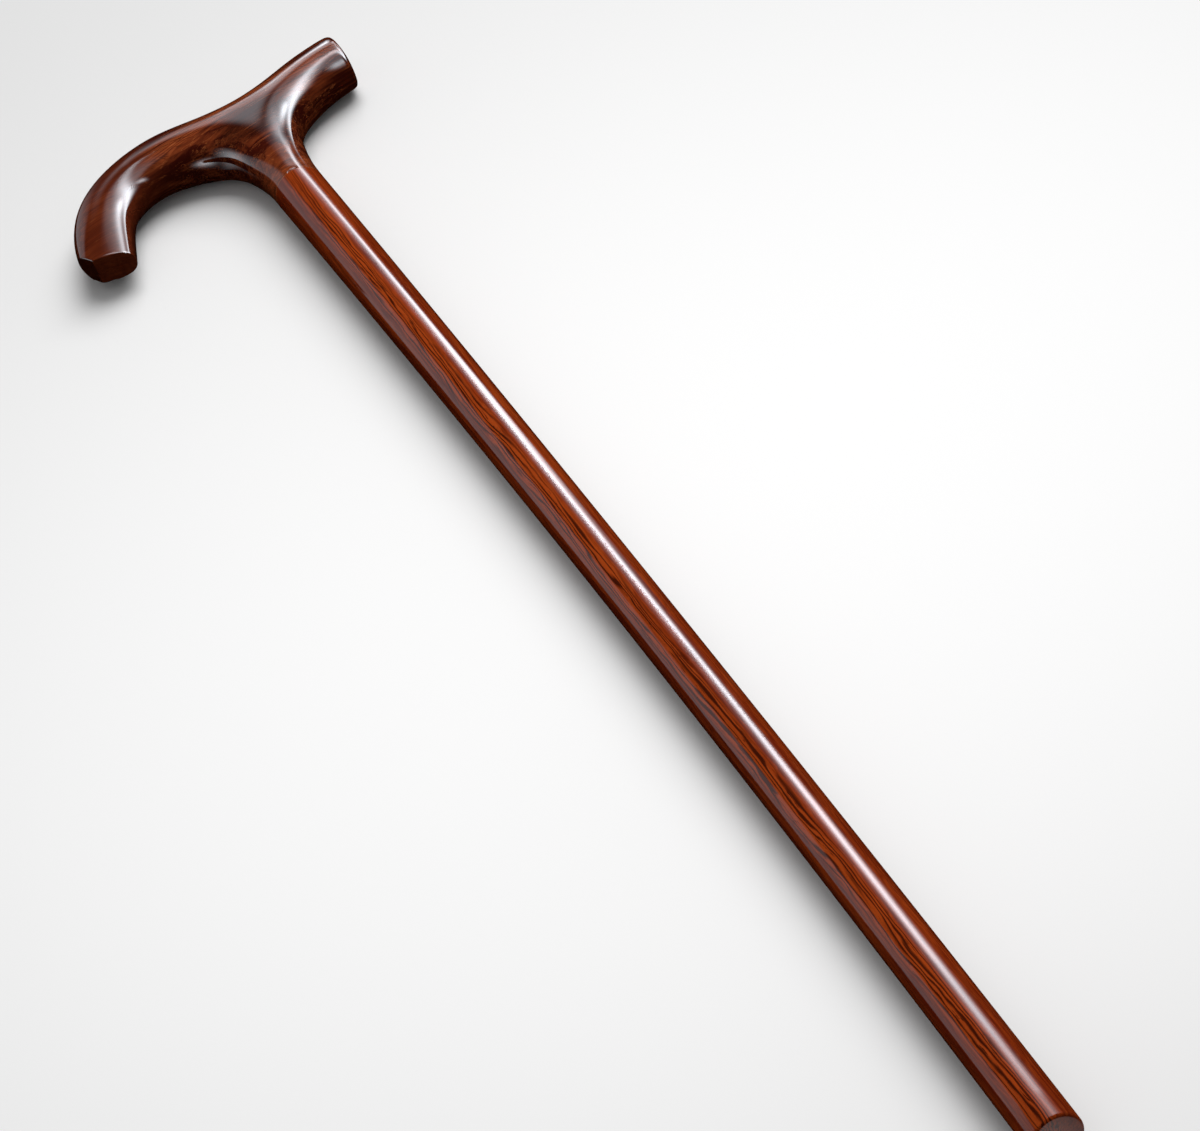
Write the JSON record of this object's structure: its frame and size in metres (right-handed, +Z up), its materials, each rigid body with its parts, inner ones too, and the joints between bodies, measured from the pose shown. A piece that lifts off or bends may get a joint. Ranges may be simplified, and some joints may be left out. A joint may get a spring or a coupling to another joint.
{
  "type": "walking cane",
  "caption": "Straight wooden walking cane with a carved hooked handle, butt-jointed to a tapered round shaft on a hidden threaded stud.",
  "frame": {"origin": "under the middle of the cane as it lies on its side: the middle of its length and width, on the surface that it lies on", "axes": "+X along the shaft towards the tip, +Y in the handle's plane towards the handle's short tail, +Z up, square to the handle's plane"},
  "size_m": [0.813, 0.15, 0.025],
  "materials": {
    "handle_wood": "dark red-brown rosewood, glossy clear lacquer",
    "shaft_wood": "streaked red-brown rosewood, glossy clear lacquer",
    "stud_steel": "bright zinc-plated steel"
  },
  "bodies": {
    "root": {"handle": "handle_wood", "shaft": "shaft_wood", "joint_stud": "stud_steel"}
  },
  "joints": []
}
